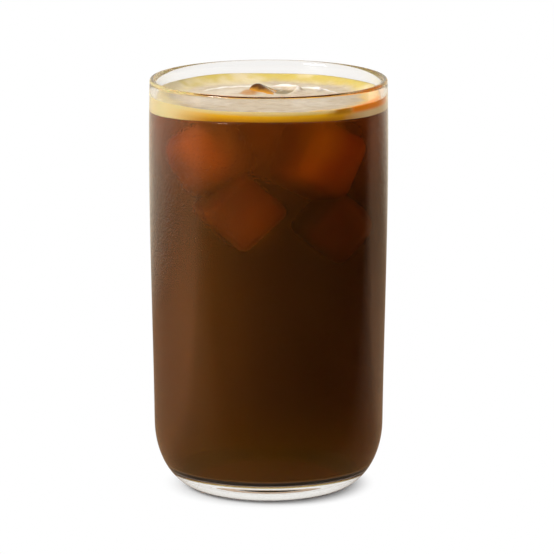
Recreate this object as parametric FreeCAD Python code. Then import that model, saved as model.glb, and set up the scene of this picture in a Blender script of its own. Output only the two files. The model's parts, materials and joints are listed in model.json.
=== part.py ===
import FreeCAD, Part

"""An iced americano in its tumbler: a clear glass with a heavy rounded heel, the coffee that fills
it, the crema that floats on the coffee, and the ice cube that breaks through the crema.

Frame: millimetres, +Z up, origin on the table at the centre of the foot. The front is -Y.
Every outline is a half section in (radius, height) that is turned about Z.
"""

import math
import os

# ---- tumbler, outside ----
GLASS_HEIGHT = 133.0
RIM_RADIUS = 38.0
UPPER_WALL_RADIUS = 38.95     # handle of the wall's curve two thirds of the way up
LOWER_WALL_RADIUS = 37.35     # handle of the wall's curve one third of the way up
SHOULDER_RADIUS = 36.95       # where the straight wall meets the rounded heel
SHOULDER_HEIGHT = 21.0
FOOT_RADIUS = 22.5            # outer edge of the ring that stands on the table
HEEL_SWEEP = 0.56             # how far the heel's handles reach, as on a quarter circle

# ---- tumbler, underside ----
PUNT_RADIUS = 18.5            # the shallow dish pressed into the underside
PUNT_DEPTH = 0.5

# ---- tumbler, inside ----
WALL_AT_RIM = 2.1
WALL_AT_SHOULDER = 2.5
FLOOR_THICKNESS = 6.2
FLOOR_RADIUS = 28.0           # where the floor starts to curve up into the wall
INNER_SWEEP = 0.58

# ---- lip: its crest lies nearer the outside, and it rounds over further on the inside ----
LIP_INNER_WIDTH = 1.4         # from the inner wall to the crest
LIP_INNER_DROP = 1.7          # from the crest down to where the inner wall starts
LIP_OUTER_DROP = 0.8
ROUND = 0.5523                # handle length that makes a Bezier span a quarter ellipse

# ---- drink ----
COFFEE_DEPTH_BELOW_RIM = 8.1
CREMA_THICKNESS = 1.7         # in the middle, away from the wall and the ice
CREMA_RIM_RISE = 1.8          # how far the crema climbs at the wall
CREMA_RIM_WIDTH = 3.4         # distance over which that climb fades
CREMA_RIM_LEAN = 0.33         # share by which the climb is greater at the back, less at the front
CREMA_RIM_UNEVENNESS = 0.12   # share of the climb that comes and goes round the wall
CREMA_SAG = 1.7               # how far its underside dips along the wall at the two sides
CREMA_SAG_LEAN = 0.25         # share by which the left side dips further than the right
CREMA_SAG_WIDTH = 9.0         # distance from the wall over which the dip fades

# ---- swells in the crema: (x, y, length, width, turn in degrees, height) ----
SWELLS = (
    (-6.0, 6.0, 16.0, 11.0, 6.0, 1.1),
    (6.5, 8.0, 9.0, 6.0, -24.0, 0.7),
    (14.0, 10.0, 6.0, 4.5, -38.0, 0.6),
    (-17.0, -9.0, 9.0, 6.0, 30.0, 0.4),
    (12.0, -13.0, 10.0, 6.5, 15.0, 0.3),
)
FOAM_GRID_STEPS = 28          # spans across the crema's top surface

# ---- ice cube at the surface ----
ICE_EDGE = 24.0
ICE_FLOAT_EDGE = 21.0         # the cube's narrower face, which a mould leaves
ICE_FILLET = 3.0
ICE_DIMPLE_RADIUS = 16.0
ICE_DIMPLE_DEPTH = 1.2
ICE_CENTRE_X = 3.3
ICE_CENTRE_Y = 7.0
ICE_TOP_ABOVE_CREMA = 3.1     # highest point of the cube over the level crema
ICE_ROLL = 24.0               # degrees about Y
ICE_PITCH = 14.0              # degrees about X
ICE_TURN = 33.0               # degrees about Z

AXIS_START = FreeCAD.Vector(0, 0, 0)
UP = FreeCAD.Vector(0, 0, 1)
PARTS_FOLDER = "parts"


def at(radius, height):
    """A point of a half section."""
    return FreeCAD.Vector(radius, 0, height)


def line(start, end):
    return Part.LineSegment(start, end).toShape()


def curve(*poles):
    """One smooth Bezier span through the first and last pole, led by those between."""
    span = Part.BezierCurve()
    span.setPoles(list(poles))
    return span.toShape()


def turned(edges):
    """The solid that a closed half section sweeps about Z."""
    section = Part.Face(Part.Wire(edges))
    return section.revolve(AXIS_START, UP, 360)


def wall_poles(lip_drop, wall_at_shoulder=0.0, wall_at_rim=0.0):
    """The wall's four poles, bottom to top, set in by a thickness that may taper."""
    radii = (SHOULDER_RADIUS, LOWER_WALL_RADIUS, UPPER_WALL_RADIUS, RIM_RADIUS)
    top = GLASS_HEIGHT - lip_drop
    last = len(radii) - 1
    poles = []
    for step, radius in enumerate(radii):
        share = step / last
        inset = wall_at_shoulder + (wall_at_rim - wall_at_shoulder) * share
        poles.append(at(radius - inset, SHOULDER_HEIGHT + (top - SHOULDER_HEIGHT) * share))
    return poles


def outer_wall():
    return wall_poles(LIP_OUTER_DROP)


def inner_wall():
    return wall_poles(LIP_INNER_DROP, WALL_AT_SHOULDER, WALL_AT_RIM)


def heel(foot, wall, sweep):
    """The rounded corner from a level foot to the first pole of a wall, tangent to both."""
    shoulder, direction = wall[0], (wall[1] - wall[0]).normalize()
    rise = shoulder.z - foot.z
    along = foot + at((shoulder.x - foot.x) * sweep, 0)
    below = shoulder - direction * rise * sweep
    return curve(foot, along, below, shoulder)


def outer_edges():
    """Outline from the underside's centre to the outer edge of the lip."""
    wall = outer_wall()
    foot = at(FOOT_RADIUS, 0)
    punt_edge = at(PUNT_RADIUS, 0)
    punt_curve = curve(at(0, PUNT_DEPTH), at(PUNT_RADIUS * 0.55, PUNT_DEPTH), punt_edge)
    return [punt_curve, line(punt_edge, foot), heel(foot, wall, HEEL_SWEEP), curve(*wall)]


def cavity_edges():
    """Outline from the inner edge of the lip down the wall to the floor's centre."""
    wall = inner_wall()
    floor = at(FLOOR_RADIUS, FLOOR_THICKNESS)
    centre = at(0, FLOOR_THICKNESS)
    return [curve(*wall), heel(floor, wall, INNER_SWEEP), line(floor, centre)]


def lip_edges():
    """The lip's two quarter ellipses, which meet level at its crest."""
    outside, inside = outer_wall()[-1], inner_wall()[-1]
    crest = at(inside.x + LIP_INNER_WIDTH, GLASS_HEIGHT)
    spans = []
    for foot in (outside, inside):
        rise = at(0, (crest.z - foot.z) * ROUND)
        reach = at((foot.x - crest.x) * ROUND, 0)
        spans.append(curve(foot, foot + rise, crest + reach, crest))
    return spans


def tumbler():
    """The glass, one piece from the dished underside to the rounded lip."""
    axis = line(at(0, FLOOR_THICKNESS), at(0, PUNT_DEPTH))
    edges = outer_edges() + lip_edges() + cavity_edges() + [axis]
    return turned(Part.sortEdges(edges)[0])


def cavity():
    """Everything inside the glass, up to the height where the lip starts to round."""
    edge = inner_wall()[-1]
    mouth = at(0, edge.z)
    return turned(cavity_edges() + [line(at(0, FLOOR_THICKNESS), mouth), line(mouth, edge)])


def coffee_level():
    return GLASS_HEIGHT - COFFEE_DEPTH_BELOW_RIM


def crema_level():
    return coffee_level() + CREMA_THICKNESS


def inner_radius():
    """Radius of the cavity at the rim."""
    return RIM_RADIUS - WALL_AT_RIM


def swell(x, y, shape):
    """Height that one rounded ridge adds at a point of the crema."""
    centre_x, centre_y, length, width, turn, height = shape
    angle = math.radians(turn)
    along = (x - centre_x) * math.cos(angle) + (y - centre_y) * math.sin(angle)
    across = (y - centre_y) * math.cos(angle) - (x - centre_x) * math.sin(angle)
    return height * math.exp(-((along / length) ** 2 + (across / width) ** 2))


def crema_height(x, y):
    """Height of the crema's top: level, drawn up at the wall and lifted where ice lies under it."""
    radius = min(math.hypot(x, y), inner_radius())
    bearing = math.atan2(y, x)
    wander = math.sin(3 * bearing + 0.6) + 0.5 * math.sin(7 * bearing)
    climb = CREMA_RIM_RISE * (1 + CREMA_RIM_LEAN * math.sin(bearing) + CREMA_RIM_UNEVENNESS * wander)
    rim = climb * math.exp(-((inner_radius() - radius) / CREMA_RIM_WIDTH) ** 2)
    return crema_level() + rim + sum(swell(x, y, shape) for shape in SWELLS)


def underside_height(x, y):
    """Height where the crema ends and the coffee starts: level, but it dips at the two sides."""
    radius = min(math.hypot(x, y), inner_radius())
    sideways = math.cos(math.atan2(y, x))
    fade = math.exp(-((inner_radius() - radius) / CREMA_SAG_WIDTH) ** 2)
    return coffee_level() - CREMA_SAG * sideways ** 2 * (1 - CREMA_SAG_LEAN * sideways) * fade


def space_under(height_at):
    """A block wider than the glass whose top is a smooth skin through the heights of a function."""
    half = RIM_RADIUS
    pitch = 2 * half / FOAM_GRID_STEPS
    ticks = [-half + step * pitch for step in range(FOAM_GRID_STEPS + 1)]
    rows = [[FreeCAD.Vector(x, y, height_at(x, y)) for y in ticks] for x in ticks]
    skin = Part.BSplineSurface()
    skin.interpolate(rows)
    return skin.toShape().extrude(FreeCAD.Vector(0, 0, -2 * GLASS_HEIGHT))


def ice_cube():
    """A moulded cube, narrower at one face, dished on top and worn round at its edges."""
    half, narrow = ICE_EDGE / 2, ICE_FLOAT_EDGE / 2
    outlines = []
    for reach, height in ((narrow, -half), (half, half)):
        corners = [(-reach, -reach), (reach, -reach), (reach, reach), (-reach, reach), (-reach, -reach)]
        outlines.append(Part.makePolygon([FreeCAD.Vector(x, y, height) for x, y in corners]))
    block = Part.makeLoft(outlines, True, True)
    block = block.makeFillet(ICE_FILLET, block.Edges)
    dish_centre = FreeCAD.Vector(0, 0, half + ICE_DIMPLE_RADIUS - ICE_DIMPLE_DEPTH)
    block = block.cut(Part.makeSphere(ICE_DIMPLE_RADIUS, dish_centre))
    block.rotate(AXIS_START, FreeCAD.Vector(0, 1, 0), ICE_ROLL)
    block.rotate(AXIS_START, FreeCAD.Vector(1, 0, 0), ICE_PITCH)
    block.rotate(AXIS_START, UP, ICE_TURN)
    top = crema_level() + ICE_TOP_ABOVE_CREMA
    block.translate(FreeCAD.Vector(ICE_CENTRE_X, ICE_CENTRE_Y, top - block.optimalBoundingBox().ZMax))
    return block


def build():
    """Each sub-part by the name of its node."""
    inside = cavity()
    ice = ice_cube()
    below_crema = space_under(underside_height)
    coffee = inside.common(below_crema).cut(ice)
    crema = inside.common(space_under(crema_height)).cut(below_crema).cut(ice)
    return {"tumbler": tumbler(), "coffee": coffee, "crema": crema, "ice_cube": ice}


os.makedirs(PARTS_FOLDER, exist_ok=True)
for node, solid in build().items():
    solid.exportStep(os.path.join(PARTS_FOLDER, node + ".step"))
    print(node, "solids", len(solid.Solids), "volume", round(solid.Volume / 1000, 2), "ml",
          "valid", solid.isValid(), "top", round(solid.BoundBox.ZMax, 2))
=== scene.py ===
"""Looks of an iced americano in its tumbler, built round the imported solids.

The glass, the coffee, the crema and the ice are separate pieces. Shapes are in millimetres in the
part's own frame (+Z up, -Y to the front). Meshes, the studio and the stretches from one place to
another in the finishes are in metres, except where a comment says otherwise.
"""

import json
import logging
import math
from dataclasses import dataclass
from enum import Enum
from functools import cached_property, reduce
from typing import Callable, Iterable, Optional, Sequence, Union

import bmesh
import bpy
from mathutils import Euler, Matrix, Vector, noise

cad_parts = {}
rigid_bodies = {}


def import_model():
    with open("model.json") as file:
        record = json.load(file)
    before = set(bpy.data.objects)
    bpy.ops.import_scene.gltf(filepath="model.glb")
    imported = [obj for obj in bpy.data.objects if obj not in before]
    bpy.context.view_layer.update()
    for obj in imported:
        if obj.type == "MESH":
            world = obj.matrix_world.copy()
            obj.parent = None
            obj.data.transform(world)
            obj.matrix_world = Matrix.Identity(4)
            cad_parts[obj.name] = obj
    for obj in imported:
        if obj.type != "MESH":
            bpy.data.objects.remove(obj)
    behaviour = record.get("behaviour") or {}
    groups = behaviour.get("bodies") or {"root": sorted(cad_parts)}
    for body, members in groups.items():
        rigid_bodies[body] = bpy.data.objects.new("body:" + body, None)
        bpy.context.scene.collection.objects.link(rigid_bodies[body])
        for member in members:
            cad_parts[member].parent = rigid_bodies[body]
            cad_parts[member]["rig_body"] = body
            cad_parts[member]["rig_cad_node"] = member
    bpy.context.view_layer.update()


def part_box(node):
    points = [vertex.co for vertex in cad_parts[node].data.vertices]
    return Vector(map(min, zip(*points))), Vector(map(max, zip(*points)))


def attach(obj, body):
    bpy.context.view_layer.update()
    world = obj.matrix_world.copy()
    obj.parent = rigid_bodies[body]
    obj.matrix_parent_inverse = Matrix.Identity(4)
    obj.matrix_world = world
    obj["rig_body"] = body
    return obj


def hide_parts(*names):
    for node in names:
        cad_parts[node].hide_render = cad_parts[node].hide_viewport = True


LOG = logging.getLogger("iced_americano")
MM = 0.001
TINY = 1e-6
ROOT = "root"

Point = tuple[float, float]
Triple = tuple[float, float, float]
Colour = Triple
Socket = bpy.types.NodeSocket
Node = bpy.types.Node
Material = bpy.types.Material
Piece = bpy.types.Object
Value = Union[Socket, float]

WHITE: Colour = (1.0, 1.0, 1.0)
EVEN: Triple = (1.0, 1.0, 1.0)


class Slot(Enum):
    """Material slots of the record, one for each kind of piece."""

    GLASS = "clear_glass"
    COFFEE = "coffee"
    CREMA = "crema"
    ICE = "ice"


# ---- node helpers ----


class NodeSheet:
    """A node tree under construction, with short calls for the nodes used here."""

    def __init__(self, tree: bpy.types.NodeTree) -> None:
        """Works on the given tree."""
        self.tree = tree

    def add(self, kind: str, feeds: Optional[dict] = None, **settings: object) -> Node:
        """Adds a node.

        Args:
            kind: The node's type name, without its prefix where that is "ShaderNode".
            feeds: What each input gets, by the input's name or number.
            settings: Attributes to set on the node.

        Returns:
            The new node.
        """
        node = self.tree.nodes.new(kind if "Node" in kind else "ShaderNode" + kind)
        for key, value in settings.items():
            setattr(node, key, value)
        for key, value in (feeds or {}).items():
            self.feed(node.inputs[key], value)
        return node

    def feed(self, socket: Socket, value: object) -> None:
        """Links value to an input socket where it is a socket, and otherwise sets it there.

        Args:
            socket: The input.
            value: A socket, or what the input is to hold.
        """
        if isinstance(value, Socket):
            self.tree.links.new(value, socket)
        else:
            socket.default_value = value

    def math(self, operation: str, *values: Value) -> Socket:
        """Result of a Math node whose inputs are numbers or sockets."""
        return self.add("Math", dict(enumerate(values)), operation=operation).outputs[0]

    def product(self, *values: Value) -> Socket:
        """All the values multiplied, from the first to the last."""
        return reduce(lambda first, second: self.math("MULTIPLY", first, second), values)

    def length(self, x: Socket, y: Socket) -> Socket:
        """Length of a level vector from its coordinates."""
        return self.math("SQRT", self.math("ADD", self.product(x, x), self.product(y, y)))

    def span(self, value: Socket, low: float, high: float, to: Point = (0.0, 1.0),
             smooth: bool = True) -> Socket:
        """Maps a value from low..high to a range, clamped.

        Args:
            value: The socket to read.
            low: Where the range starts.
            high: Where the range ends.
            to: Start and end of the range.
            smooth: Whether the step eases in and out.

        Returns:
            The output socket.
        """
        feeds = {"Value": value, "From Min": low, "From Max": high, "To Min": to[0], "To Max": to[1]}
        kind = "SMOOTHSTEP" if smooth else "LINEAR"
        return self.add("MapRange", feeds, interpolation_type=kind).outputs["Result"]


class ShaderSheet(NodeSheet):
    """A material under construction, on Object coordinates."""

    def __init__(self, name: str) -> None:
        """Starts a material that holds one Principled shader and its output.

        Args:
            name: The material's name.
        """
        self.material = bpy.data.materials.new(name)
        self.material.use_nodes = True
        super().__init__(self.material.node_tree)
        self.shader = self.tree.nodes["Principled BSDF"]
        self.output = self.tree.nodes["Material Output"]

    @cached_property
    def place(self) -> Socket:
        """Object coordinates, in metres in the part's frame."""
        return self.add("TexCoord").outputs["Object"]

    @cached_property
    def axes(self) -> tuple[Socket, ...]:
        """The three Object coordinates as separate sockets."""
        return tuple(self.add("SeparateXYZ", {0: self.place}).outputs)

    def set(self, **values: object) -> None:
        """Sets sockets of the Principled shader, with spaces of their names as underscores.

        Args:
            values: What each holds, where three numbers are a colour unless they are a radius.
        """
        for key, value in values.items():
            name = key.replace("_", " ")
            if isinstance(value, tuple) and "Radius" not in name:
                value = (*value, 1.0)
            self.shader.inputs[name].default_value = value

    def paint(self, colour: Socket) -> None:
        """Gives the shader its base colour."""
        self.feed(self.shader.inputs["Base Color"], colour)

    def bump(self, height: Socket, depth_mm: float) -> None:
        """Bumps the shader's normal by a height socket whose full swing is depth_mm."""
        node = self.add("Bump", {"Height": height, "Distance": depth_mm * MM, "Strength": 1.0})
        self.feed(self.shader.inputs["Normal"], node.outputs[0])

    def band(self, value: Socket, level_mm: float, ends_mm: Point) -> Socket:
        """Maps a height or radius to 0..1 between two places, given from a level in millimetres."""
        return self.span(value, *((level_mm + end) * MM for end in ends_mm))

    def distance(self, spot: Triple, squash: Optional[Triple] = None) -> Socket:
        """Distance in metres from a spot in millimetres, with the coordinates squashed first.

        Args:
            spot: The spot, already squashed.
            squash: Factors on the coordinates, if any.

        Returns:
            The distance's socket.
        """
        place = self.place
        if squash:
            place = self.add("VectorMath", {0: place, 1: squash}, operation="MULTIPLY").outputs[0]
        target = tuple(value * MM for value in spot)
        return self.add("VectorMath", {0: place, 1: target}, operation="DISTANCE").outputs["Value"]

    def grain(self, size_mm: float, detail: float = 2.0, squash: Triple = EVEN,
              shift: Triple = (0.0, 0.0, 0.0), rough: float = 0.5) -> Socket:
        """Noise whose blotches measure about size_mm.

        Args:
            size_mm: Width of a blotch in millimetres.
            detail: Octaves of finer noise.
            squash: Factors on the coordinates, above 1 where blotches are narrower.
            shift: Offset that tells one noise from another.
            rough: Strength of the finer octaves.

        Returns:
            The noise factor's socket, around 0.5.
        """
        mapping = self.add("Mapping", {"Vector": self.place, "Scale": squash, "Location": shift})
        return self.add("TexNoise", {"Vector": mapping.outputs[0], "Scale": 1 / (size_mm * MM),
                                     "Detail": detail, "Roughness": rough}).outputs["Fac"]

    def blend(self, share: Value, first: object, second: object) -> Socket:
        """Mixes two colours or sockets, by the share of the second.

        Args:
            share: That share, a number or a socket.
            first: Colour or socket.
            second: Colour or socket.

        Returns:
            The mixed colour's socket.
        """
        node = self.add("Mix", data_type="RGBA")
        self.feed(node.inputs["Factor"], share)
        colours = [s for s in node.inputs if s.type == "RGBA"]
        for socket, value in zip(colours, (first, second)):
            self.feed(socket, (*value, 1.0) if isinstance(value, tuple) else value)
        return [s for s in node.outputs if s.type == "RGBA"][0]


# ---- finishes ----


@dataclass(frozen=True)
class ClearGlass:
    """Polished glass, with a mist on the outside where the drink has chilled it."""

    tint: Colour = (0.955, 0.945, 0.930)
    foot: Colour = (0.97, 0.96, 0.93)
    tinted_above: Point = (0.010, 0.024)
    mist_grain: float = 0.8
    mist_depth: float = 0.11
    mist_above: Point = (0.050, 0.085)
    mist_below: Point = (0.1250, 0.1225)
    mist_left: Point = (0.012, -0.012)
    mist_right: Point = (0.028, 0.036)

    def material(self) -> Material:
        """The finish as a Blender material."""
        sheet = ShaderSheet("clear glass")
        sheet.set(Roughness=0.0, IOR=1.5, Transmission_Weight=1.0)
        x, _, z = sheet.axes
        sheet.paint(sheet.blend(sheet.span(z, *self.tinted_above), WHITE, self.tint))
        sides = sheet.math("MAXIMUM", sheet.span(x, *self.mist_left), sheet.span(x, *self.mist_right))
        mist = sheet.product(sheet.span(z, *self.mist_above), sheet.span(z, *self.mist_below), sides,
                             sheet.grain(self.mist_grain, detail=1.0))
        sheet.bump(mist, self.mist_depth)
        return sheet.material

    def underside(self) -> Material:
        """The face that lies on the table, which lets the table's light straight up."""
        sheet = ShaderSheet("glass underside")
        sheet.set(Base_Color=self.foot, Roughness=0.0, IOR=1.0, Transmission_Weight=1.0)
        return sheet.material


@dataclass(frozen=True)
class Halo:
    """A painted soft light in the drink round a lump of ice, placed in millimetres."""

    place: Triple
    radius: float
    colour: Colour
    strength: float

    def lay(self, sheet: ShaderSheet, colour: Socket, cloudy: Socket) -> tuple[Socket, Socket]:
        """Adds the light to the colour and the share of the drink's cloud so far.

        Args:
            sheet: The drink's material.
            colour: The colour.
            cloudy: The share.

        Returns:
            The new colour and share.
        """
        fade = sheet.span(sheet.distance(self.place), self.radius * MM, 0.0)
        near = sheet.product(fade, self.strength)
        both = sheet.math("ADD", cloudy, near)
        return sheet.blend(sheet.math("DIVIDE", near, both), colour, self.colour), both


@dataclass(frozen=True)
class Coffee:
    """Black coffee: clear at its floor, dark within, and slightly cloudy under the crema."""

    absorbed: Colour = (0.900, 0.76, 0.12)
    density: float = 680.0
    cloud: Colour = (1.0, 0.36, 0.06)
    cloud_dark: Colour = (0.29, 0.085, 0.008)
    cloud_top: Colour = (1.0, 0.14, 0.0)
    cloud_low: Colour = (0.66, 0.25, 0.015)
    dark_corner: Colour = (0.020, 0.014, 0.008)
    cloudiness: float = 0.118
    top_cloudiness: float = 0.16
    cloud_limit: float = 0.25
    limit_ease: float = 0.06
    corner_cloudiness: float = 0.9
    # painted light: the cloud's colour is lighter towards the lamp on the left and darker beyond
    lit_towards: Point = (0.012, -0.026)
    unlit_beyond: Point = (-0.018, -0.034)
    unlit_share: float = 0.45
    lit_gain: Point = (0.8, -0.2)  # factor and offset of the light from the left
    wave_gain: float = 0.5
    # painted glow: the coffee is warmer and cloudier just under the crema
    patch_gain: Point = (0.8, 0.1)  # factor and offset of the patches in the top's glow
    glow_above: Point = (0.090, 0.125)
    low_below: Point = (0.040, 0.010)
    clear_below: Point = (0.0090, 0.0066)
    corner_below: Point = (0.0094, 0.0080)
    corner_above: Point = (0.0068, 0.0074)
    # painted glows round the sunken ice
    halos: tuple[Halo, ...] = (
        Halo((16.5, -31.0, 119.0), 11.0, (1.0, 0.30, 0.0), 0.16),
        Halo((10.5, -33.0, 111.0), 9.0, (1.0, 0.24, 0.0), 0.08),
        Halo((-20.0, -29.0, 117.0), 16.0, (1.0, 0.34, 0.05), 0.07),
        Halo((-3.0, -34.0, 92.0), 11.0, (1.0, 0.20, 0.0), 0.05),
    )

    def material(self) -> Material:
        """The finish as a Blender material."""
        sheet = ShaderSheet("black coffee")
        sheet.set(Roughness=0.0, IOR=1.34)
        z = sheet.axes[2]
        patchy = sheet.math("MULTIPLY_ADD", sheet.grain(16.0, detail=1.0, shift=(0.3, 0.1, 0.2)),
                            *self.patch_gain)
        # painted glow under the crema, patchy
        glow = sheet.product(sheet.span(z, *self.glow_above), patchy)
        colour = self._cloud_colour(sheet, glow)
        cloudy = sheet.math("MULTIPLY_ADD", glow, self.top_cloudiness, self.cloudiness)
        for halo in self.halos:
            colour, cloudy = halo.lay(sheet, colour, cloudy)
        cloudy = sheet.math("SMOOTH_MIN", cloudy, self.cloud_limit, self.limit_ease)
        clear = sheet.span(z, *self.clear_below)
        corner = sheet.product(sheet.span(z, *self.corner_below), sheet.span(z, *self.corner_above))
        sheet.paint(sheet.blend(corner, sheet.blend(clear, colour, WHITE), self.dark_corner))
        cloudy = sheet.product(cloudy, sheet.math("SUBTRACT", 1.0, clear))
        cloudy = sheet.math("MAXIMUM", cloudy, sheet.product(corner, self.corner_cloudiness))
        sheet.feed(sheet.shader.inputs["Transmission Weight"], sheet.math("SUBTRACT", 1.0, cloudy))
        volume = sheet.add("VolumeAbsorption", {"Color": (*self.absorbed, 1.0), "Density": self.density})
        sheet.feed(sheet.output.inputs["Volume"], volume.outputs[0])
        return sheet.material

    def _cloud_colour(self, sheet: ShaderSheet, glow: Socket) -> Socket:
        """Colour of the cloud, painted brighter on the lamp's side and painted warm where the top glows.

        Args:
            sheet: The drink's material.
            glow: Share of the top's warm light.

        Returns:
            The colour's socket.
        """
        x, _, z = sheet.axes
        # painted light from the lamp's side: lit and unlit shares of the cloud colour
        unlit = sheet.product(sheet.span(x, *self.unlit_beyond), self.unlit_share)
        lit = sheet.math("SUBTRACT", sheet.span(x, *self.lit_towards), unlit)
        wavy = sheet.grain(26.0, detail=1.5, squash=(1.0, 1.0, 0.35))
        share = sheet.math("MULTIPLY_ADD", wavy, self.wave_gain,
                           sheet.math("MULTIPLY_ADD", lit, *self.lit_gain))
        colour = sheet.blend(share, self.cloud_dark, self.cloud)
        colour = sheet.blend(glow, colour, self.cloud_top)
        return sheet.blend(sheet.span(z, *self.low_below), colour, self.cloud_low)


@dataclass(frozen=True)
class Patch:
    """A stretch of the crema's ring in a colour of its own, between two bearings in degrees."""

    start: float
    end: float
    fade: float
    colour: Colour
    upper: bool = True


@dataclass(frozen=True)
class Crema:
    """Fine foam: golden at the wall, pale and milky on top, orange where it is thin."""

    gold: Colour = (0.98, 0.52, 0.003)
    ochre: Colour = (0.66, 0.26, 0.0)
    cream: Colour = (1.0, 0.79, 0.37)
    pale: Colour = (0.66, 0.55, 0.41)
    shade: Colour = (0.48, 0.35, 0.22)
    rear: Colour = (0.64, 0.49, 0.12)
    rear_pale: Colour = (0.76, 0.63, 0.38)
    # hollow: painted shade in the folds' hollows; froth: the white froth, and also the painted highlight on
    # the folds' crests
    hollow: Colour = (0.26, 0.20, 0.10)
    froth_and_highlight: Colour = (0.90, 0.84, 0.75)
    soaked: Colour = (0.50, 0.20, 0.03)
    patches: tuple[Patch, ...] = (
        Patch(-44.0, 5.0, 8.0, (0.86, 0.60, 0.30), upper=False),
        Patch(-46.0, -16.0, 5.0, (0.98, 0.27, 0.004)),
        Patch(-55.0, -46.0, 3.5, (0.60, 0.24, 0.004)),
    )
    left_beyond: Point = (-0.014, -0.033)
    rear_beyond: Point = (-0.005, 0.012)
    wander: float = 0.011
    froth_share: float = 0.25
    cream_share: float = 0.85
    soaked_share: float = 0.85
    soaked_spot: Triple = (-6.8, 3.6, 0.0)
    soaked_squash: Triple = (1.0, 0.6, 0.0)
    soaked_within: Point = (0.0044, 0.0020)
    # Stretches of the fine noise, the broad noise, the broad noise and the relief; the relief's stretch lays
    # the painted highlight on the folds' crests and painted shade in their hollows.
    shaded: Point = (0.36, 0.80)
    frothy: Point = (0.52, 0.70)
    rear_paler: Point = (0.40, 0.62)
    highlight_and_shade_relief: Point = (0.15, 0.85)
    # Millimetres from the wall, for the first two, and from the level crema.
    ring_inside: Point = (-8.0, -3.0)
    patch_inside: Point = (-6.0, -2.5)
    cream_above: Point = (-0.1, 1.0)
    ochre_below: Point = (0.2, -1.9)
    patch_above: Point = (-1.2, 0.2)
    # Factor and offset of the noise in a patch's bearing.
    bearing_gain: Point = (0.5, -0.25)
    relief: str = "foam_relief"

    def material(self, level_mm: float, radius_mm: float) -> Material:
        """The finish as a Blender material.

        Args:
            level_mm: Height of the level crema.
            radius_mm: Radius of the glass's inside there.

        Returns:
            The material.
        """
        sheet = ShaderSheet("crema")
        x, y, _ = sheet.axes
        broad = sheet.grain(11.0, detail=2.0)
        wander = sheet.math("MULTIPLY_ADD", broad, self.wander, -self.wander / 2)
        outwards = sheet.math("ADD", sheet.length(x, y), wander)
        colour = sheet.blend(sheet.band(outwards, radius_mm, self.ring_inside),
                             self._top(sheet, broad, wander), self._ring(sheet, broad, level_mm))
        outer = sheet.band(outwards, radius_mm, self.patch_inside)
        sheet.paint(self._patched(sheet, colour, broad, outer, level_mm))
        sheet.set(Roughness=0.36, IOR=1.38, Specular_IOR_Level=0.25, Subsurface_Weight=0.25,
                  Subsurface_Scale=0.0012, Subsurface_Radius=(1.0, 0.7, 0.4))
        sheet.bump(sheet.grain(0.9, detail=1.0), 0.10)
        return sheet.material

    def _top(self, sheet: ShaderSheet, broad: Socket, wander: Socket) -> Socket:
        """Colour of the foam away from the wall, whose edges stray by a length, with a painted highlight on
        the folds' crests and painted shade in their hollows.

        Args:
            sheet: The foam's material.
            broad: Broad noise.
            wander: The length, as a socket.

        Returns:
            The colour's socket.
        """
        fine = sheet.grain(2.4, detail=4.0, squash=(0.7, 1.8, 1.0), rough=0.62)
        top = sheet.blend(sheet.span(fine, *self.shaded), self.pale, self.shade)
        top = sheet.blend(sheet.product(sheet.span(broad, *self.frothy), self.froth_share), top, self.froth_and_highlight)
        relief = sheet.add("Attribute", attribute_name=self.relief).outputs["Fac"]
        # painted highlight on the folds' crests, then painted shade in their hollows
        top = sheet.blend(sheet.span(relief, *self.highlight_and_shade_relief), top, self.froth_and_highlight)
        top = sheet.blend(sheet.span(relief, *(-end for end in self.highlight_and_shade_relief)), top, self.hollow)
        apart = sheet.math("ADD", sheet.distance(self.soaked_spot, self.soaked_squash), wander)
        soaked = sheet.product(sheet.span(apart, *self.soaked_within), self.soaked_share)
        return sheet.blend(soaked, top, self.soaked)

    def _ring(self, sheet: ShaderSheet, broad: Socket, level_mm: float) -> Socket:
        """Colour of the foam along the wall.

        Args:
            sheet: The foam's material.
            broad: Broad noise.
            level_mm: Height of the level crema.

        Returns:
            The colour's socket.
        """
        x, y, z = sheet.axes
        left = sheet.span(x, *self.left_beyond)
        above = sheet.product(sheet.band(z, level_mm, self.cream_above), self.cream_share)
        ring = sheet.blend(left, sheet.blend(above, self.gold, self.cream), self.cream)
        rear = sheet.blend(sheet.span(broad, *self.rear_paler), self.rear, self.rear_pale)
        ring = sheet.blend(sheet.span(y, *self.rear_beyond), ring, rear)
        low = sheet.product(sheet.band(z, level_mm, self.ochre_below), sheet.math("SUBTRACT", 1.0, left))
        return sheet.blend(low, ring, self.ochre)

    def _patched(self, sheet: ShaderSheet, colour: Socket, broad: Socket, outer: Socket,
                 level_mm: float) -> Socket:
        """The foam's colour with the patches laid on the outer share of it.

        Args:
            sheet: The foam's material.
            colour: Colour without them.
            broad: Broad noise.
            outer: That share.
            level_mm: Height of the level crema.

        Returns:
            The colour's socket.
        """
        x, y, z = sheet.axes
        stray = sheet.math("MULTIPLY_ADD", broad, *self.bearing_gain)
        bearing = sheet.math("ADD", sheet.math("ARCTAN2", y, x), stray)
        upper = sheet.band(z, level_mm, self.patch_above)
        for patch in self.patches:
            start, end, fade = (math.radians(angle) for angle in (patch.start, patch.end, patch.fade))
            share = sheet.product(sheet.span(bearing, start - fade, start + fade),
                                  sheet.span(bearing, end + fade, end - fade), outer)
            if patch.upper:
                share = sheet.product(share, upper)
            colour = sheet.blend(share, colour, patch.colour)
        return colour


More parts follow.
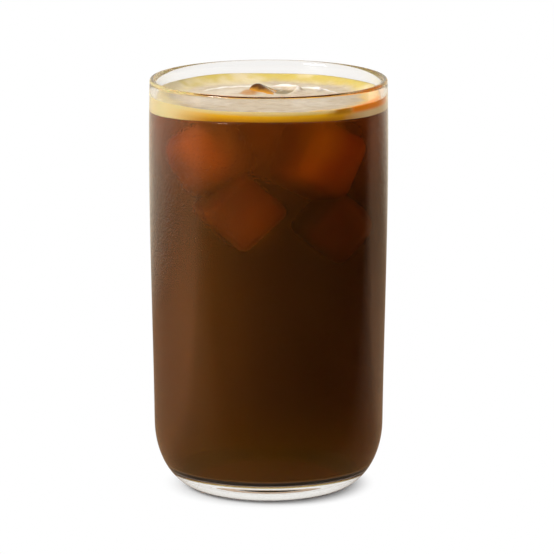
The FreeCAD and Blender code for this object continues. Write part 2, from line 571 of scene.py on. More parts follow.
@dataclass(frozen=True)
class SunkenIce:
    """Cloudy ice in coffee, painted brightest round one place and lost in the drink away from it."""

    core: Colour = (1.0, 0.74, 0.45)
    dim: Colour = (0.34, 0.13, 0.04)
    bright_share: float = 0.3

    def material(self, name: str, lit: Triple, reach: float, shine: float) -> Material:
        """The finish as a Blender material.

        Args:
            name: The cube's name.
            lit: Its brightest place in millimetres.
            reach: Distance from there at which it is dim.
            shine: Brightness there as a share of clean ice's.

        Returns:
            The material.
        """
        sheet = ShaderSheet(name)
        # painted light: bright round the lit place, fading to the dim colour by the reach
        share = sheet.span(sheet.distance(lit), reach * self.bright_share * MM, reach * MM)
        bright = tuple(channel * shine for channel in self.core)
        sheet.paint(sheet.blend(share, bright, self.dim))
        sheet.set(Roughness=0.6, IOR=1.31, Specular_IOR_Level=0.0)
        return sheet.material


@dataclass(frozen=True)
class StainedIce:
    """Wet ice at the surface, brown with the coffee behind it."""

    brown: Colour = (0.10, 0.032, 0.006)
    amber: Colour = (0.92, 0.40, 0.045)
    brown_towards: Point = (-2.6, -0.2)  # millimetres from the tip
    height_gain: Point = (-0.9, 0.5)  # factor and offset of the height in the share of amber
    streak_gain: float = 0.6

    def material(self, top_mm: float) -> Material:
        """The finish as a Blender material, for ice with its tip at a height.

        Args:
            top_mm: The tip's height.

        Returns:
            The material.
        """
        sheet = ShaderSheet("stained ice")
        height = sheet.band(sheet.axes[2], top_mm, self.brown_towards)
        share = sheet.math("MULTIPLY_ADD", sheet.grain(2.6, detail=2.0), self.streak_gain,
                           sheet.math("MULTIPLY_ADD", height, *self.height_gain))
        sheet.paint(sheet.blend(share, self.brown, self.amber))
        sheet.set(Roughness=0.12, IOR=1.31, Specular_IOR_Level=0.2, Transmission_Weight=0.1)
        return sheet.material


@dataclass(frozen=True)
class Dew:
    """Water that has condensed on the glass."""

    tint: Colour = (1.0, 0.97, 0.93)

    def material(self) -> Material:
        """The finish as a Blender material."""
        sheet = ShaderSheet("dew")
        sheet.set(Base_Color=self.tint, Roughness=0.10, IOR=1.33, Transmission_Weight=1.0,
                  Specular_IOR_Level=0.15)
        return sheet.material


# ---- mesh helpers ----


def bezier(poles: Sequence[Point], steps: int) -> list[Point]:
    """The steps + 1 points of a cubic Bezier span with four poles of (radius, height).

    Args:
        poles: The poles.
        steps: Number of stretches to cut it into.

    Returns:
        The points, both ends included.
    """
    points = []
    for step in range(steps + 1):
        t = step / steps
        weights = ((1 - t) ** 3, 3 * t * (1 - t) ** 2, 3 * t * t * (1 - t), t ** 3)
        points.append(tuple(sum(w * pole[k] for w, pole in zip(weights, poles)) for k in (0, 1)))
    return points


def linked(name: str, data: bpy.types.ID) -> Piece:
    """A mesh, lamp or camera as an object in the scene.

    Args:
        name: The object's name.
        data: The mesh, lamp or camera.

    Returns:
        The object.
    """
    piece = bpy.data.objects.new(name, data)
    bpy.context.scene.collection.objects.link(piece)
    return piece


def settle(made: bmesh.types.BMesh, mesh: bpy.types.Mesh) -> bpy.types.Mesh:
    """Writes a finished bmesh into a mesh and shades it smooth.

    Args:
        made: The bmesh, which is freed.
        mesh: The mesh to write into.

    Returns:
        The mesh.
    """
    made.to_mesh(mesh)
    made.free()
    for polygon in mesh.polygons:
        polygon.use_smooth = True
    return mesh


def mesh_object(name: str, vertices: Iterable[Sequence[float]],
                faces: Iterable[Sequence[int]]) -> Piece:
    """A linked object whose mesh has its normals outwards.

    Args:
        name: Name of the object and its mesh.
        vertices: Places in metres.
        faces: Vertex numbers of each face.

    Returns:
        The object, at the origin.
    """
    mesh = bpy.data.meshes.new(name)
    mesh.from_pydata([tuple(v) for v in vertices], [], [tuple(f) for f in faces])
    made = bmesh.new()
    made.from_mesh(mesh)
    bmesh.ops.recalc_face_normals(made, faces=made.faces)
    return linked(name, settle(made, mesh))


class PolarMesh:
    """Rings of points round Z, joined into one skin."""

    def __init__(self, spokes: int) -> None:
        """Starts an empty skin with that many points on each ring.

        Args:
            spokes: Number of points on a ring.
        """
        self.spokes = spokes
        self.vertices: list[Sequence[float]] = []
        self.rings: list[list[int]] = []

    def pole(self, height: float) -> None:
        """Adds a single point on the axis, in millimetres."""
        self.rings.append([len(self.vertices)])
        self.vertices.append((0.0, 0.0, height * MM))

    def ring(self, place: Callable[[float], Point]) -> None:
        """Adds a ring whose place(bearing) gives radius and height in millimetres.

        Args:
            place: Gives the ring's point at a bearing in radians.
        """
        first = len(self.vertices)
        self.rings.append(list(range(first, first + self.spokes)))
        for spoke in range(self.spokes):
            bearing = 2 * math.pi * spoke / self.spokes
            radius, height = place(bearing)
            self.vertices.append((radius * math.cos(bearing) * MM, radius * math.sin(bearing) * MM,
                                  height * MM))

    def circle(self, radius: float, height: float) -> None:
        """Adds a level ring, in millimetres."""
        self.ring(lambda bearing: (radius, height))

    def faces(self) -> list[tuple[int, ...]]:
        """Faces between each ring and the next."""
        made: list[tuple[int, ...]] = []
        for low, high in zip(self.rings[:-1], self.rings[1:]):
            for spoke in range(self.spokes):
                after = (spoke + 1) % self.spokes
                sides = ((low, spoke), (low, after), (high, after), (high, spoke))
                made.append(tuple(dict.fromkeys(ring[turn % len(ring)] for ring, turn in sides)))
        return made

    def build(self, name: str) -> Piece:
        """The skin as an object."""
        return mesh_object(name, self.vertices, self.faces())


def dress(piece: Piece, material: Material, slot: Slot,
          *nodes: str) -> Piece:
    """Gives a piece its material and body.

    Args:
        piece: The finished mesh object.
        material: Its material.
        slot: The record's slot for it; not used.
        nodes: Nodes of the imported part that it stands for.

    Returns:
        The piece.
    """
    piece.data.materials.clear()
    piece.data.materials.append(material)
    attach(piece, ROOT)
    if nodes:
        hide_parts(*nodes)
    LOG.info("%s: %d faces", piece.name, len(piece.data.polygons))
    return piece


# ---- glass ----


@dataclass(frozen=True)
class Tumbler:
    """The straight tumbler with its heavy rounded heel."""

    height: float
    rim_radius: float = 38.0
    upper_wall_radius: float = 38.95
    lower_wall_radius: float = 37.35
    shoulder_radius: float = 36.95
    shoulder_height: float = 21.0
    foot_radius: float = 22.5
    heel_sweep: float = 0.56
    punt_radius: float = 18.5
    punt_depth: float = 0.5
    punt_inner_handle: Point = (0.4, 1.0)  # shares of its radius and depth
    punt_outer_handle: Point = (0.8, 0.2)  # shares of its radius and depth
    wall_at_rim: float = 2.1
    wall_at_shoulder: float = 2.5
    floor_thickness: float = 6.2
    floor_radius: float = 28.0
    inner_sweep: float = 0.58
    lip_inner_width: float = 1.4
    lip_inner_drop: float = 1.7
    lip_outer_drop: float = 0.8
    quarter_round: float = 0.5523
    foot_margin: float = 0.05
    foot_facing: float = -0.95
    spokes: int = 256
    wall_steps: int = 60
    heel_steps: int = 40
    lip_steps: int = 16
    punt_steps: int = 10
    floor_steps: int = 6

    def wall(self, lip_drop: float, at_shoulder: float = 0.0, at_rim: float = 0.0) -> list[Point]:
        """Poles of the wall from the shoulder up.

        Args:
            lip_drop: How far below the rim the wall ends.
            at_shoulder: Inset at the shoulder.
            at_rim: Inset at the rim.

        Returns:
            Four poles as (radius, height).
        """
        radii = (self.shoulder_radius, self.lower_wall_radius, self.upper_wall_radius, self.rim_radius)
        rise = self.height - lip_drop - self.shoulder_height
        return [(radius - at_shoulder - (at_rim - at_shoulder) * k / 3, self.shoulder_height + rise * k / 3)
                for k, radius in enumerate(radii)]

    def heel(self, foot: Point, wall: Sequence[Point], sweep: float) -> list[Point]:
        """Points of a rounded corner from a level foot to a wall's first pole, tangent to both.

        Args:
            foot: Where the corner starts.
            wall: Poles of the wall.
            sweep: Share of the corner that its handles reach over.

        Returns:
            Points as (radius, height), both ends included.
        """
        run, climb = wall[1][0] - wall[0][0], wall[1][1] - wall[0][1]
        reach = (wall[0][1] - foot[1]) * sweep / math.hypot(run, climb)
        along = (foot[0] + (wall[0][0] - foot[0]) * sweep, foot[1])
        below = (wall[0][0] - run * reach, wall[0][1] - climb * reach)
        return bezier([foot, along, below, wall[0]], self.heel_steps)

    @cached_property
    def outside(self) -> list[Point]:
        """Points from the underside's centre to the outer edge of the lip."""
        handles = [(self.punt_radius * radius, self.punt_depth * depth)
                   for radius, depth in (self.punt_inner_handle, self.punt_outer_handle)]
        punt = bezier([(0, self.punt_depth), *handles, (self.punt_radius, 0)], self.punt_steps)
        wall = self.wall(self.lip_outer_drop)
        heel = self.heel((self.foot_radius, 0), wall, self.heel_sweep)
        return punt + heel + bezier(wall, self.wall_steps)[1:]

    @cached_property
    def inside(self) -> list[Point]:
        """Points from the inner edge of the lip down to the floor's centre."""
        wall = self.wall(self.lip_inner_drop, self.wall_at_shoulder, self.wall_at_rim)
        heel = self.heel((self.floor_radius, self.floor_thickness), wall, self.inner_sweep)
        floor = [(self.floor_radius * k / self.floor_steps, self.floor_thickness)
                 for k in range(self.floor_steps - 1, -1, -1)]
        return bezier(wall, self.wall_steps)[::-1] + heel[-2::-1] + floor

    def lip(self) -> list[Point]:
        """Points over the lip between its outer and inner edges, ends left out."""
        crest = (self.inside[0][0] + self.lip_inner_width, self.height)
        spans = []
        for edge in (self.outside[-1], self.inside[0]):
            rise = (edge[0], edge[1] + (crest[1] - edge[1]) * self.quarter_round)
            reach = (crest[0] + (edge[0] - crest[0]) * self.quarter_round, crest[1])
            spans.append(bezier([edge, rise, reach, crest], self.lip_steps))
        return spans[0][1:] + spans[1][-2:0:-1]

    def inner_radius(self, height: float) -> float:
        """Radius of the inside at a height.

        Args:
            height: The height.

        Returns:
            The radius, which is the lip's above it.
        """
        for (upper, top), (lower, bottom) in zip(self.inside[:-1], self.inside[1:]):
            if bottom <= height <= top and top > bottom:
                return lower + (upper - lower) * (height - bottom) / (top - bottom)
        return self.inside[0][0]

    def build(self, finish: ClearGlass) -> Piece:
        """The glass, dressed.

        Args:
            finish: Its finish.

        Returns:
            The piece.
        """
        skin = PolarMesh(self.spokes)
        for radius, height in self.outside + self.lip() + self.inside:
            if radius < TINY:
                skin.pole(height)
            else:
                skin.circle(radius, height)
        piece = dress(skin.build("glass"), finish.material(), Slot.GLASS, "tumbler")
        piece.data.materials.append(finish.underside())
        for polygon in piece.data.polygons:
            low = polygon.center.z < (self.punt_depth + self.foot_margin) * MM
            if low and polygon.normal.z < self.foot_facing:
                polygon.material_index = 1
        return piece


# ---- drink ----


@dataclass(frozen=True)
class Swell:
    """A rounded ridge in the crema."""

    x: float
    y: float
    length: float
    width: float
    turn: float
    height: float

    def lift(self, x: float, y: float) -> float:
        """Height that it adds at a point.

        Args:
            x: Its x.
            y: Its y.

        Returns:
            The height.
        """
        angle = math.radians(self.turn)
        along = (x - self.x) * math.cos(angle) + (y - self.y) * math.sin(angle)
        across = (y - self.y) * math.cos(angle) - (x - self.x) * math.sin(angle)
        return self.height * math.exp(-((along / self.length) ** 2 + (across / self.width) ** 2))


@dataclass(frozen=True)
class Ripple:
    """Fine unevenness all over the crema, with its pitch in x and y and its layer of noise."""

    height: float
    pitch: Point
    layer: float

    def lift(self, x: float, y: float) -> float:
        """Height that it adds at a point."""
        return self.height * noise.noise(Vector((x / self.pitch[0], y / self.pitch[1], self.layer)))


@dataclass(frozen=True)
class Fold:
    """A crescent-shaped fold of foam over a lump of ice, with a hollow inside its bend."""

    x: float
    y: float
    radius: float
    stretch: float
    facing: float
    spread: float
    width: float
    height: float
    sunk: float
    hollow_share: float = 0.45

    def relief(self, x: float, y: float) -> float:
        """1 on the fold's crest, down to -sunk in its hollow, and 0 away from it.

        Args:
            x: Its x.
            y: Its y.

        Returns:
            The relief.
        """
        across, along = x - self.x, (y - self.y) / self.stretch
        distance = math.hypot(across, along)
        turn = math.degrees(math.atan2(along, across)) - self.facing
        turn = (turn + 180) % 360 - 180
        reach = math.exp(-(turn / self.spread) ** 4)
        crest = math.exp(-((distance - self.radius) / self.width) ** 2) * reach
        middle = self.radius * self.hollow_share
        hollow = math.exp(-((distance - middle) / middle) ** 4)
        return crest - hollow * (1 - crest) * self.sunk


@dataclass(frozen=True)
class Drink:
    """Coffee under its crema, filling the tumbler's inside."""

    glass: Tumbler
    depth_below_rim: float = 8.1
    crema_thickness: float = 1.7
    rim_rise: float = 1.8
    rim_width: float = 3.4
    rim_lean: float = 0.33
    rim_unevenness: float = 0.12
    rim_calm: float = 2.0
    sag: float = 1.7
    sag_lean: float = 0.25
    sag_width: float = 9.0
    sag_reach: float = 12.0
    overlap: float = 0.08
    floor_overlap: float = 0.02
    floor_fade: float = 3.0
    crema_dip: float = 0.02
    spokes: int = 256
    under_rings: int = 12
    side_steps: int = 10
    top_rings: int = 96
    swells: tuple[Swell, ...] = (
        Swell(-6.0, 6.0, 16.0, 11.0, 6.0, 1.1),
        Swell(6.5, 8.0, 9.0, 6.0, -24.0, 0.7),
        Swell(14.0, 10.0, 6.0, 4.5, -38.0, 0.6),
        Swell(-17.0, -9.0, 9.0, 6.0, 30.0, 0.4),
        Swell(12.0, -13.0, 10.0, 6.5, 15.0, 0.3),
    )
    ripples: tuple[Ripple, ...] = (
        Ripple(0.22, (4.2, 2.6), 0.3),
        Ripple(0.08, (1.5, 1.1), 2.7),
    )
    folds: tuple[Fold, ...] = (
        Fold(4.2, 9.5, 5.4, 1.35, 45.0, 85.0, 1.25, 1.2, sunk=0.8),
        Fold(11.5, 12.0, 5.0, 1.2, 30.0, 70.0, 0.8, 0.6, sunk=0.3),
        Fold(-4.0, 2.0, 18.0, 1.0, 110.0, 48.0, 1.3, 0.5, sunk=0.0),
        Fold(6.0, 2.0, 17.0, 0.9, 60.0, 40.0, 1.0, 0.35, sunk=0.0),
    )

    @cached_property
    def rim(self) -> float:
        """The inside's radius at the rim, which the crema is shaped by."""
        return self.glass.inner_radius(self.glass.height)

    @property
    def coffee_level(self) -> float:
        """Height of the coffee away from the wall."""
        return self.glass.height - self.depth_below_rim

    @property
    def crema_level(self) -> float:
        """Height of the crema away from the wall and the ice."""
        return self.coffee_level + self.crema_thickness

    def underside(self, radius: float, bearing: float) -> float:
        """Height where the crema ends and the coffee starts.

        Args:
            radius: Distance from the axis.
            bearing: Bearing in radians.

        Returns:
            The height.
        """
        sideways = math.cos(bearing)
        fade = math.exp(-((self.rim - radius) / self.sag_width) ** 2)
        return self.coffee_level - self.sag * sideways ** 2 * (1 - self.sag_lean * sideways) * fade

    def crema_floor(self, radius: float, bearing: float) -> float:
        """Height of the crema's own lowest skin, which dips into the coffee."""
        return self.underside(radius, bearing) - self.crema_dip

    def top(self, radius: float, bearing: float) -> float:
        """Height of the crema's top.

        Args:
            radius: Distance from the axis.
            bearing: Bearing in radians.

        Returns:
            The height.
        """
        wander = math.sin(3 * bearing + 0.6) + 0.5 * math.sin(7 * bearing)
        climb = self.rim_rise * (1 + self.rim_lean * math.sin(bearing) + self.rim_unevenness * wander)
        inwards = self.rim - min(radius, self.rim)
        edge = climb * math.exp(-(inwards / self.rim_width) ** 2)
        away = 1 - math.exp(-(inwards / self.rim_calm) ** 2)
        x, y = radius * math.cos(bearing), radius * math.sin(bearing)
        uneven = sum(ripple.lift(x, y) for ripple in self.ripples)
        uneven += sum(fold.height * fold.relief(x, y) for fold in self.folds)
        return self.crema_level + edge + uneven * away + sum(swell.lift(x, y) for swell in self.swells)

    def at_wall(self, height: float) -> Point:
        """Radius just inside the wall's glass, so that no air shows between, and the height."""
        return self.glass.inner_radius(height) + self.overlap, height

    def add_rings(self, skin: PolarMesh, steps: Iterable[int], count: int,
                  surface: Callable[[float, float], float]) -> None:
        """Adds rings of a surface, numbered from 0 at the axis to count at the wall."""
        for step in steps:
            skin.ring(lambda bearing, r=self.rim * step / count: (r, surface(r, bearing)))

    def coffee_side(self, bearing: float, level: float) -> Point:
        """A point of the coffee's side, moved from its level by the dip and the floor's overlap.

        Args:
            bearing: Bearing in radians.
            level: Height before it is moved.

        Returns:
            The point as (radius, height).
        """
        share = max(0.0, 1 - (self.coffee_level - level) / self.sag_reach)
        height = level + (self.underside(self.rim, bearing) - self.coffee_level) * share
        above_floor = (height - self.glass.floor_thickness) / self.floor_fade
        sink = self.floor_overlap * (1 - min(1.0, above_floor))
        return self.at_wall(height)[0], height - sink

    def crema_side(self, bearing: float, share: float) -> Point:
        """A point of the crema's side, a share of the way up."""
        low = self.crema_floor(self.rim, bearing)
        return self.at_wall(low + (self.top(self.rim, bearing) - low) * share)

    def build_coffee(self, finish: Coffee) -> Piece:
        """The coffee up to the crema's underside, dressed.

        Args:
            finish: Its finish.

        Returns:
            The piece.
        """
        skin = PolarMesh(self.spokes)
        floor = self.glass.floor_thickness
        upwards = self.glass.inside[::-1]
        skin.pole(floor - self.floor_overlap)
        for radius in [r for r, h in upwards if h <= floor + TINY and r > 0]:
            skin.circle(radius, floor - self.floor_overlap)
        for level in [h for _, h in upwards if floor + TINY < h < self.coffee_level]:
            skin.ring(lambda bearing, h=level: self.coffee_side(bearing, h))
        skin.ring(lambda bearing: self.at_wall(self.underside(self.rim, bearing)))
        self.add_rings(skin, range(self.under_rings - 1, 0, -1), self.under_rings, self.underside)
        skin.pole(self.underside(0.0, 0.0))
        return dress(skin.build("coffee_body"), finish.material(), Slot.COFFEE, "coffee")

    def build_crema(self, finish: Crema) -> Piece:
        """The crema, dressed.

        Args:
            finish: Its finish.

        Returns:
            The piece.
        """
        skin = PolarMesh(self.spokes)
        skin.pole(self.crema_floor(0.0, 0.0))
        self.add_rings(skin, range(1, self.under_rings), self.under_rings, self.crema_floor)
        for step in range(self.side_steps + 1):
            skin.ring(lambda bearing, share=step / self.side_steps: self.crema_side(bearing, share))
        self.add_rings(skin, range(self.top_rings - 1, 0, -1), self.top_rings, self.top)
        skin.pole(self.top(0.0, 0.0))
        piece = skin.build("crema_foam")
        # the relief that the crema's painted highlight and painted shade follow
        relief_for_painted_light = piece.data.attributes.new(finish.relief, "FLOAT", "POINT")
        places = [(vertex.co.x / MM, vertex.co.y / MM) for vertex in piece.data.vertices]
        relief_for_painted_light.data.foreach_set("value", [sum(fold.relief(*place) for fold in self.folds) for place in places])
        return dress(piece, finish.material(self.crema_level, self.rim), Slot.CREMA, "crema")


# ---- condensation ----


@dataclass(frozen=True)
class Condensation:
    """Fine drops of water on the outside of the glass, where the drink has chilled it."""

    glass: Tumbler
    low: float = 46.0
    high: float = 123.5
    spokes: int = 96
    per_square_mm: float = 1.1
    drop_least: float = 0.08
    drop_most: float = 0.20
    flatness: float = 0.10
    seed: int = 7
    chilled_above: Point = (0.060, 0.105)
    chilled_left: Point = (0.002, -0.024)
    chilled_right: Point = (0.028, 0.036)
    cloud_scale: float = 90.0
    clouded: Point = (0.30, 0.55)  # of the cloudy noise

    def skin(self) -> Piece:
        """The stretch of the glass's outside that the drops sit on."""
        skin = PolarMesh(self.spokes)
        for radius, height in self.glass.outside:
            if self.low <= height <= self.high:
                skin.circle(radius, height)
        return skin.build("dew")

    def tree(self, material: Material) -> tuple[bpy.types.NodeTree, dict[str, str]]:
        """The Geometry Nodes tree that scatters the drops.

        Args:
            material: Finish of the drops.

        Returns:
            The tree and the identifier of each named input.
        """
        tree = bpy.data.node_groups.new("condensation", "GeometryNodeTree")
        face = tree.interface
        face.new_socket("Geometry", in_out="INPUT", socket_type="NodeSocketGeometry")
        inputs = {}
        for name in ("Density", "Least Size", "Greatest Size", "Flatness", "Seed"):
            kind = "NodeSocketInt" if name == "Seed" else "NodeSocketFloat"
            inputs[name] = face.new_socket(name, in_out="INPUT", socket_type=kind).identifier
        face.new_socket("Geometry", in_out="OUTPUT", socket_type="NodeSocketGeometry")
        sheet = NodeSheet(tree)
        source = sheet.add("NodeGroupInput").outputs
        place = sheet.add("GeometryNodeInputPosition").outputs[0]
        x, _, z = sheet.add("SeparateXYZ", {0: place}).outputs
        cloud = sheet.add("TexNoise", {"Vector": place, "Scale": self.cloud_scale, "Detail": 2.0})
        sides = sheet.math("MAXIMUM", sheet.span(x, *self.chilled_left),
                           sheet.span(x, *self.chilled_right))
        density = sheet.product(sheet.span(z, *self.chilled_above), sides,
                                sheet.span(cloud.outputs[0], *self.clouded), source["Density"])
        points = sheet.add("GeometryNodeDistributePointsOnFaces", {
            "Mesh": source["Geometry"], "Density": density, "Seed": source["Seed"]}).outputs
        size = sheet.add("FunctionNodeRandomValue", {"Seed": source["Seed"]}, data_type="FLOAT")
        least, most = [s for s in size.inputs if s.type == "VALUE" and s.enabled][:2]
        sheet.feed(least, source["Least Size"])
        sheet.feed(most, source["Greatest Size"])
        width = [s for s in size.outputs if s.enabled][0]
        shape = sheet.add("CombineXYZ", {0: width, 1: width, 2: sheet.product(width, source["Flatness"])})
        drop = sheet.add("GeometryNodeMeshIcoSphere", {"Radius": 1.0, "Subdivisions": 1})
        put = sheet.add("GeometryNodeInstanceOnPoints", {
            "Points": points["Points"], "Instance": drop.outputs[0],
            "Rotation": points["Rotation"], "Scale": shape.outputs[0]})
        real = sheet.add("GeometryNodeRealizeInstances", {0: put.outputs[0]})
        smooth = sheet.add("GeometryNodeSetShadeSmooth", {0: real.outputs[0]})
        finish = sheet.add("GeometryNodeSetMaterial",
                           {"Geometry": smooth.outputs[0], "Material": material})
        sheet.add("NodeGroupOutput", {0: finish.outputs[0]})
        return tree, inputs

    def build(self, finish: Dew) -> Piece:
        """The drops as one mesh, dressed.

        Args:
            finish: Its finish.

        Returns:
            The piece.
        """
        material = finish.material()
        skin = self.skin()
        tree, inputs = self.tree(material)
        modifier = skin.modifiers.new("condensation", "NODES")
        modifier.node_group = tree
        settings = {"Density": self.per_square_mm / MM ** 2, "Least Size": self.drop_least * MM,
                    "Greatest Size": self.drop_most * MM, "Flatness": self.flatness, "Seed": self.seed}
        for name, value in settings.items():
            modifier[inputs[name]] = value
        depsgraph = bpy.context.evaluated_depsgraph_get()
        mesh = bpy.data.meshes.new_from_object(skin.evaluated_get(depsgraph))
        skin.modifiers.remove(modifier)
        skin.data = mesh
        return dress(skin, material, Slot.GLASS)


# ---- ice ----


@dataclass(frozen=True)
class IceCube:
    """A moulded cube with worn edges, narrower at one face, and the light painted on it."""

    name: str
    centre: Triple
    turn: Triple
    lit: Triple
    reach: float
    shine: float
    edge: float
    fillet: float
    taper: float = 1.0
    fillet_steps: int = 5

    def build(self, finish: SunkenIce) -> Piece:
        """The cube in its place, dressed.

        Args:
            finish: Its finish.

        Returns:
            The piece.
        """
        made = bmesh.new()
        bmesh.ops.create_cube(made, size=1.0)
        for vertex in made.verts:
            reach = self.edge - self.taper if vertex.co.z < 0 else self.edge
            vertex.co = Vector((vertex.co.x * reach, vertex.co.y * reach, vertex.co.z * self.edge))
        bmesh.ops.bevel(made, geom=list(made.edges), offset=self.fillet, segments=self.fillet_steps,
                        profile=0.5, affect="EDGES")
        turned = Euler([math.radians(angle) for angle in self.turn]).to_matrix().to_4x4()
        made.transform(Matrix.Scale(MM, 4) @ (Matrix.Translation(self.centre) @ turned))
        piece = linked(self.name, settle(made, bpy.data.meshes.new(self.name)))
        return dress(piece, finish.material(self.name, self.lit, self.reach, self.shine), Slot.ICE)


@dataclass(frozen=True)
class Ice:
    """The cube at the surface and those sunk in the coffee."""

    # each cube's lit place, reach and shine set its painted light
    cubes: tuple[IceCube, ...] = (
        IceCube("ice_front_left", (-8.0, -19.8, 94.7), (0.0, 44.0, 8.0), (2.0, -28.0, 91.0),
                reach=18.5, shine=0.86, edge=19.0, fillet=2.6),
        IceCube("ice_right", (14.0, -18.2, 110.2), (-10.0, 30.0, 35.0), (15.5, -27.0, 117.0),
                reach=25.0, shine=1.0, edge=21.0, fillet=4.2),
        IceCube("ice_right_low", (18.0, -13.0, 88.5), (15.0, 42.0, 38.0), (22.0, -22.0, 93.0),
                reach=25.0, shine=0.70, edge=18.0, fillet=4.0),
        IceCube("ice_left", (-16.5, -15.0, 111.0), (10.0, -30.0, -40.0), (-17.0, -26.0, 119.0),
                reach=20.0, shine=0.86, edge=21.0, fillet=6.0),
    )

    def surface(self, finish: StainedIce) -> Piece:
        """The cube that breaks the crema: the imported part's own, smoothed.

        Args:
            finish: Its finish.

        Returns:
            The piece.
        """
        node = bpy.data.objects["ice_cube"]
        made = bmesh.new()
        made.from_mesh(node.data)
        bmesh.ops.remove_doubles(made, verts=made.verts, dist=TINY)
        piece = node.copy()
        piece.data = settle(made, node.data.copy())
        piece.name = "ice_at_surface"
        piece.parent = None
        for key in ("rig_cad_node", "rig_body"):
            if key in piece:
                del piece[key]
        bpy.context.scene.collection.objects.link(piece)
        return dress(piece, finish.material(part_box("ice_cube")[1].z / MM), Slot.ICE, "ice_cube")

    def sunken(self, finish: SunkenIce) -> list[Piece]:
        """The cubes under the surface."""
        return [cube.build(finish) for cube in self.cubes]


# ---- studio ----


@dataclass(frozen=True)
class View:
    """What reflections see of the floor or the sky, from the front to the back.

    Attributes:
        coordinate: Texture coordinate whose Y runs from the front to the back.
        room: Y where the room is dark in an outer reflection, and where it is bright.
        back: Y where what one inner reflection shows starts to brighten, and where it is white.
        rear: Y where what an outer reflection shows starts to whiten, and where it is white.
        near: Radius round the axis within which one inner reflection shows white too.
        shadow: Radii from where to where the camera's white covers the shadow, if any.
    """

    coordinate: str
    room: Point
    back: Point
    rear: Point
    near: float = 0.0
    shadow: Optional[Point] = None


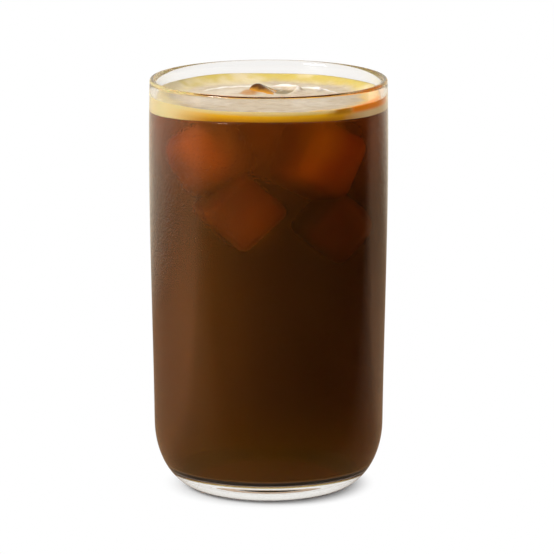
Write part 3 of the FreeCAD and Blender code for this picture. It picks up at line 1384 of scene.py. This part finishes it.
@dataclass(frozen=True)
class Studio:
    """Pale floor, soft lamp, white surroundings and the camera."""

    half_floor: float = 3.0
    floor_colour: Colour = (0.80, 0.80, 0.80)
    sky_strength: float = 0.68
    key_power: float = 10.0
    key_place: Triple = (-0.70, -0.50, 0.70)
    key_aim: Triple = (0.0, 0.0, 0.07)
    key_size: float = 0.35
    camera_distance: float = 1.400
    camera_elevation: float = 11.9
    lens: float = 282.3
    sensor: float = 36.0
    shift: Point = (0.0152, 0.0088)
    room_colour: Colour = (1.0, 0.66, 0.40)
    back_colour: Colour = (0.90, 0.80, 0.64)
    left_lean: float = 0.4
    room_front: float = 0.02
    room_side: float = 0.32
    floor_view: View = View("Object", room=(-0.08, 0.02), back=(0.02, 0.06), rear=(0.26, 0.56),
                            near=0.024, shadow=(0.0235, 0.0350))
    sky_view: View = View("Generated", room=(-0.9, 0.4), back=(0.6, 0.95), rear=(0.55, 0.90))

    def show(self, sheet: NodeSheet, plain: Node, kind: str, output: Node,
             view: View) -> None:
        """Shows white to the camera and through glass, and a dimmer room to reflections.

        Args:
            sheet: The node tree of the world or of the floor.
            plain: The node that lights everything else.
            kind: Node type of the plain light that is seen.
            output: The tree's output node.
            view: Where what is seen changes.
        """
        path = sheet.add("LightPath").outputs
        camera, outer, through = (path[f"Is {ray} Ray"] for ray in ("Camera", "Glossy", "Transmission"))
        x, y, _ = sheet.add("SeparateXYZ", {0: sheet.add("TexCoord").outputs[view.coordinate]}).outputs
        depth = sheet.math("MULTIPLY_ADD", x, -self.left_lean, y)
        radius = sheet.length(x, y)
        inner = sheet.product(through, sheet.math("COMPARE", path["Glossy Depth"], 1.0, 0.5))
        if view.shadow:
            camera = sheet.product(camera, sheet.span(radius, *view.shadow))
        shown = sheet.math("MAXIMUM", camera, sheet.math("SUBTRACT", through, inner))
        if view.near:
            beneath = sheet.product(inner, sheet.math("LESS_THAN", radius, view.near))
            shown = sheet.math("MAXIMUM", shown, beneath)
        outer_light = sheet.span(depth, *view.room, to=(self.room_front, self.room_side), smooth=False)
        inner_light = sheet.span(depth, *view.back, to=(self.room_front, 1.0), smooth=False)
        dim = sheet.math("ADD", sheet.product(outer, outer_light), sheet.product(inner, inner_light))
        behind = sheet.product(outer, sheet.span(depth, *view.rear, smooth=False))
        result = plain
        for share, colour, strength in ((sheet.math("MAXIMUM", outer, inner), self.room_colour, dim),
                                        (behind, self.back_colour, 1.0), (shown, WHITE, 1.0)):
            light = sheet.add(kind, {"Color": (*colour, 1.0), "Strength": strength})
            result = sheet.add("MixShader", {0: share, 1: result.outputs[0], 2: light.outputs[0]})
        sheet.feed(output.inputs["Surface"], result.outputs[0])

    def stand(self, data: bpy.types.ID, place: Vector, aim: Vector) -> Piece:
        """A lamp or camera in its place, pointed at its aim.

        Args:
            data: The lamp or camera, whose name the object takes.
            place: Where it stands.
            aim: What it points at.

        Returns:
            The object.
        """
        holder = linked(data.name, data)
        holder.location = place
        holder.rotation_euler = (aim - holder.location).to_track_quat("-Z", "Y").to_euler()
        return holder

    def build_floor(self) -> Piece:
        """The floor, which isn't part of the object."""
        h = self.half_floor
        floor = mesh_object("studio_floor", [(-h, -h, 0), (h, -h, 0), (h, h, 0), (-h, h, 0)], [(0, 1, 2, 3)])
        sheet = ShaderSheet("studio floor")
        sheet.set(Base_Color=self.floor_colour, Roughness=1.0, Specular_IOR_Level=0.0)
        self.show(sheet, sheet.shader, "Emission", sheet.output, self.floor_view)
        floor.data.materials.append(sheet.material)
        return floor

    def build_sky(self) -> None:
        """The white surroundings, which reflections see darker towards the front."""
        world = bpy.data.worlds.new("studio")
        bpy.context.scene.world = world
        world.use_nodes = True
        nodes = world.node_tree.nodes
        plain = nodes["Background"]
        plain.inputs["Color"].default_value = (*WHITE, 1.0)
        plain.inputs["Strength"].default_value = self.sky_strength
        self.show(NodeSheet(world.node_tree), plain, "Background", nodes["World Output"], self.sky_view)

    def build_lamp(self) -> None:
        """The key softbox."""
        lamp = bpy.data.lights.new("key", "AREA")
        lamp.energy = self.key_power
        lamp.size = self.key_size
        self.stand(lamp, Vector(self.key_place), Vector(self.key_aim))

    def build_camera(self, height: float) -> None:
        """The camera, aimed at the middle of the glass.

        Args:
            height: The glass's height in metres.
        """
        camera = bpy.data.cameras.new("camera")
        camera.lens = self.lens
        camera.sensor_width = self.sensor
        camera.shift_x, camera.shift_y = self.shift
        angle = math.radians(self.camera_elevation)
        middle = Vector((0, 0, height / 2))
        place = middle + self.camera_distance * Vector((0, -math.cos(angle), math.sin(angle)))
        bpy.context.scene.camera = self.stand(camera, place, middle)

    def build(self, height: float) -> None:
        """Everything round the object.

        Args:
            height: The glass's height in metres.
        """
        self.build_floor()
        self.build_sky()
        self.build_lamp()
        self.build_camera(height)
        bpy.context.scene.view_settings.view_transform = "Standard"


def main() -> None:
    """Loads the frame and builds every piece."""
    logging.basicConfig(level=logging.INFO, format="%(message)s")
    for thing in list(bpy.data.objects):
        bpy.data.objects.remove(thing)
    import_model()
    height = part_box("tumbler")[1].z
    glass = Tumbler(height=height / MM)
    glass.build(ClearGlass())
    drink = Drink(glass)
    drink.build_coffee(Coffee())
    drink.build_crema(Crema())
    Condensation(glass).build(Dew())
    ice = Ice()
    ice.surface(StainedIce())
    ice.sunken(SunkenIce())
    Studio().build(height)


if __name__ == "__main__":
    main()
